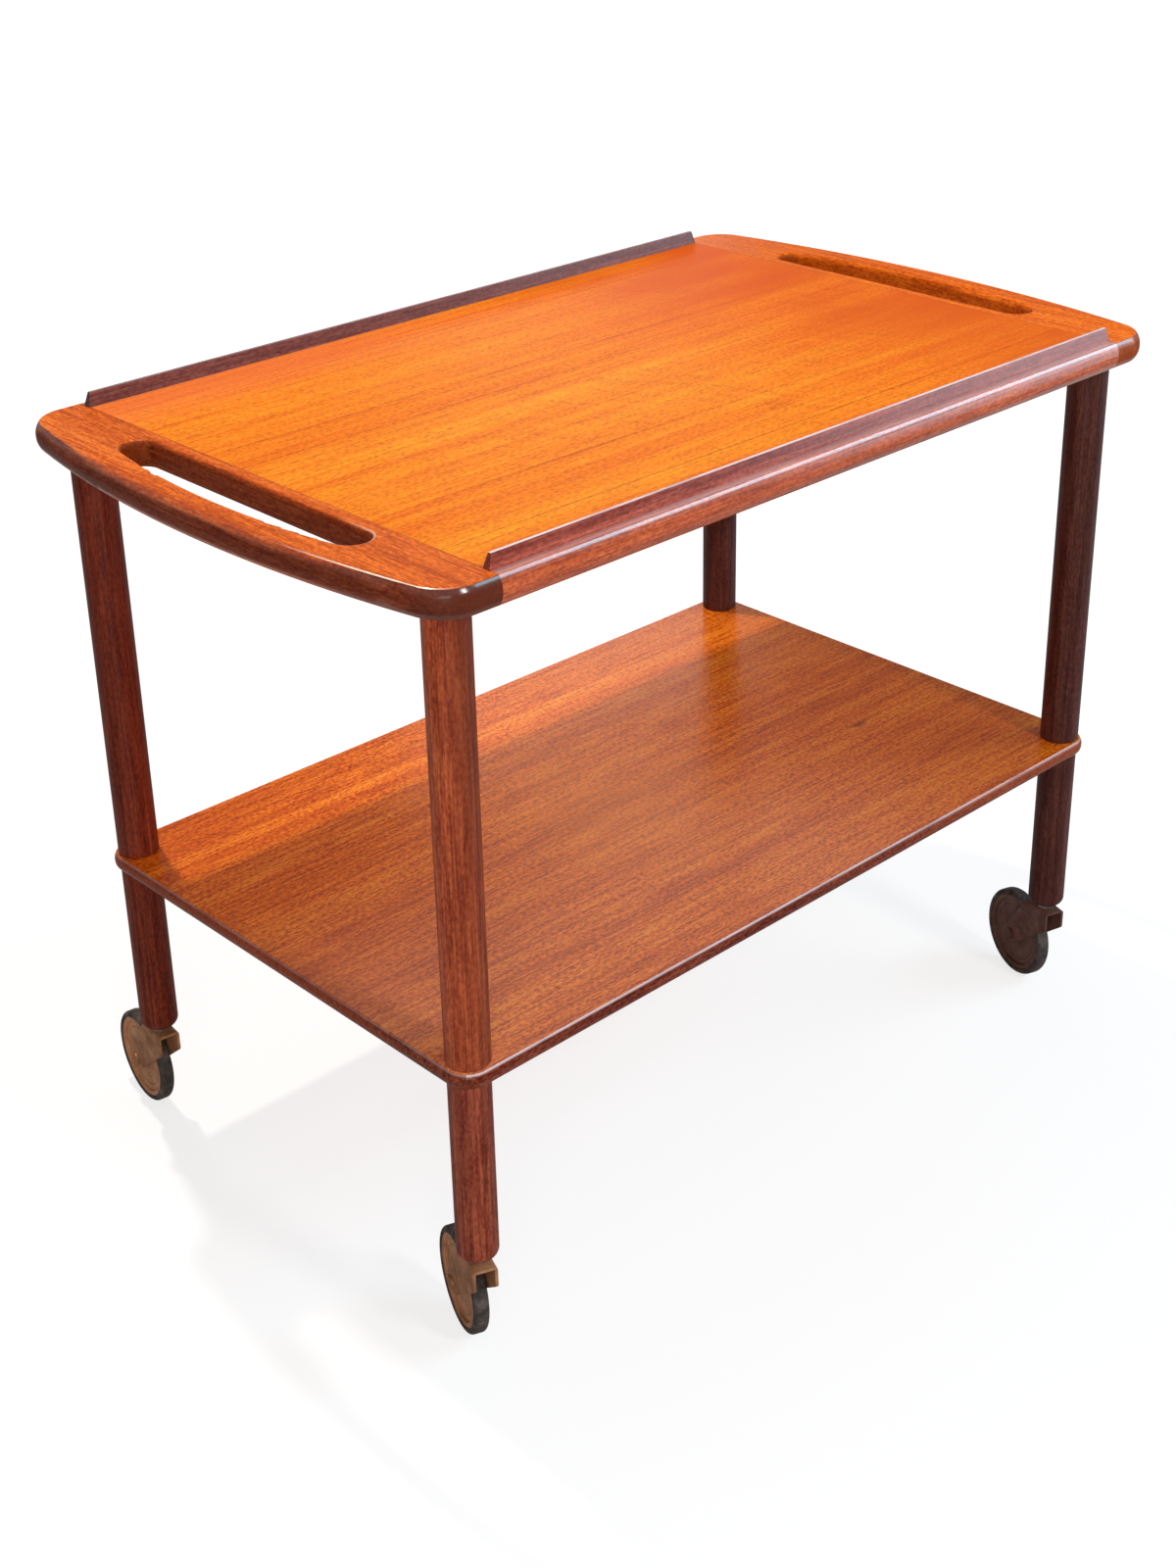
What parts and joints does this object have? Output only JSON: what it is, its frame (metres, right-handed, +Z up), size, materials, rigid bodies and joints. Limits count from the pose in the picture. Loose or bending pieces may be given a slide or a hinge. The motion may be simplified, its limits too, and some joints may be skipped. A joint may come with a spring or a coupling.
{
  "type": "bar cart",
  "caption": "Teak serving trolley: a tray with hand slots in its bowed ends and low gallery strips, round legs, a thin lower shelf and swivelling casters",
  "frame": {"origin": "on the floor under the middle of the tray", "axes": "+X along the tray to its right end, +Y to its back long side, +Z up"},
  "size_m": [0.755, 0.4966, 0.6064],
  "materials": {
    "teak_panel": "oiled teak veneer, orange, grain along the tray",
    "teak_end_left": "oiled solid teak, red-brown",
    "teak_end_right": "oiled solid teak, orange-brown",
    "teak_edge": "oiled solid teak, satin",
    "teak_strip": "dark solid teak, satin",
    "hidden_wood": "plain beech, unfinished",
    "teak_shelf": "oiled teak veneer, grain along the shelf",
    "shelf_edge": "oiled solid teak, satin",
    "teak_leg": "oiled solid teak, grain along the leg",
    "steel": "plain dull steel",
    "fork_steel": "worn brown lacquer on bent steel",
    "wheel_disc": "brown moulded disc, dull",
    "tyre_rubber": "hard dark rubber, dusty"
  },
  "bodies": {
    "cart_frame": {"tray_panel": "teak_panel", "handle_end_left": "teak_end_left", "handle_end_right": "teak_end_right", "tray_lipping_front": "teak_edge", "tray_lipping_back": "teak_edge", "gallery_strip_front": "teak_strip", "gallery_strip_back": "teak_strip", "end_tongue_left": "hidden_wood", "end_tongue_right": "hidden_wood", "shelf_panel": "teak_shelf", "shelf_lipping_front": "shelf_edge", "shelf_lipping_back": "shelf_edge", "shelf_lipping_left": "shelf_edge", "shelf_lipping_right": "shelf_edge", "leg_studs": "steel", "upper_leg_front_left": "teak_leg", "lower_leg_front_left": "teak_leg", "caster_socket_front_left": "steel", "upper_leg_front_right": "teak_leg", "lower_leg_front_right": "teak_leg", "caster_socket_front_right": "steel", "upper_leg_back_left": "teak_leg", "lower_leg_back_left": "teak_leg", "caster_socket_back_left": "steel", "upper_leg_back_right": "teak_leg", "lower_leg_back_right": "teak_leg", "caster_socket_back_right": "steel"},
    "fork_front_left": {"caster_fork_front_left": "fork_steel", "swivel_stem_front_left": "steel", "thrust_washer_front_left": "steel", "wheel_axle_front_left": "steel"},
    "wheel_front_left": {"wheel_disc_front_left": "wheel_disc", "wheel_tyre_front_left": "tyre_rubber"},
    "fork_front_right": {"caster_fork_front_right": "fork_steel", "swivel_stem_front_right": "steel", "thrust_washer_front_right": "steel", "wheel_axle_front_right": "steel"},
    "wheel_front_right": {"wheel_disc_front_right": "wheel_disc", "wheel_tyre_front_right": "tyre_rubber"},
    "fork_back_left": {"caster_fork_back_left": "fork_steel", "swivel_stem_back_left": "steel", "thrust_washer_back_left": "steel", "wheel_axle_back_left": "steel"},
    "wheel_back_left": {"wheel_disc_back_left": "wheel_disc", "wheel_tyre_back_left": "tyre_rubber"},
    "fork_back_right": {"caster_fork_back_right": "fork_steel", "swivel_stem_back_right": "steel", "thrust_washer_back_right": "steel", "wheel_axle_back_right": "steel"},
    "wheel_back_right": {"wheel_disc_back_right": "wheel_disc", "wheel_tyre_back_right": "tyre_rubber"}
  },
  "joints": [
    {"name": "swivel_front_left", "type": "hinge", "parent": "cart_frame", "child": "fork_front_left", "pos_m": [-0.324, -0.194, 0.084], "axis": [0, 0, 1], "continuous": true},
    {"name": "roll_front_left", "type": "hinge", "parent": "fork_front_left", "child": "wheel_front_left", "pos_m": [-0.31164, -0.16179, 0.03875], "axis": [-0.9336, 0.3584, 0], "continuous": true},
    {"name": "swivel_front_right", "type": "hinge", "parent": "cart_frame", "child": "fork_front_right", "pos_m": [0.324, -0.194, 0.084], "axis": [0, 0, 1], "continuous": true},
    {"name": "roll_front_right", "type": "hinge", "parent": "fork_front_right", "child": "wheel_front_right", "pos_m": [0.33495, -0.16128, 0.03875], "axis": [-0.9483, 0.3173, 0], "continuous": true},
    {"name": "swivel_back_left", "type": "hinge", "parent": "cart_frame", "child": "fork_back_left", "pos_m": [-0.324, 0.194, 0.084], "axis": [0, 0, 1], "continuous": true},
    {"name": "roll_back_left", "type": "hinge", "parent": "fork_back_left", "child": "wheel_back_left", "pos_m": [-0.3198, 0.22824, 0.03875], "axis": [-0.9925, 0.1219, 0], "continuous": true},
    {"name": "swivel_back_right", "type": "hinge", "parent": "cart_frame", "child": "fork_back_right", "pos_m": [0.324, 0.194, 0.084], "axis": [0, 0, 1], "continuous": true},
    {"name": "roll_back_right", "type": "hinge", "parent": "fork_back_right", "child": "wheel_back_right", "pos_m": [0.33293, 0.22732, 0.03875], "axis": [-0.9659, 0.2588, 0], "continuous": true}
  ]
}
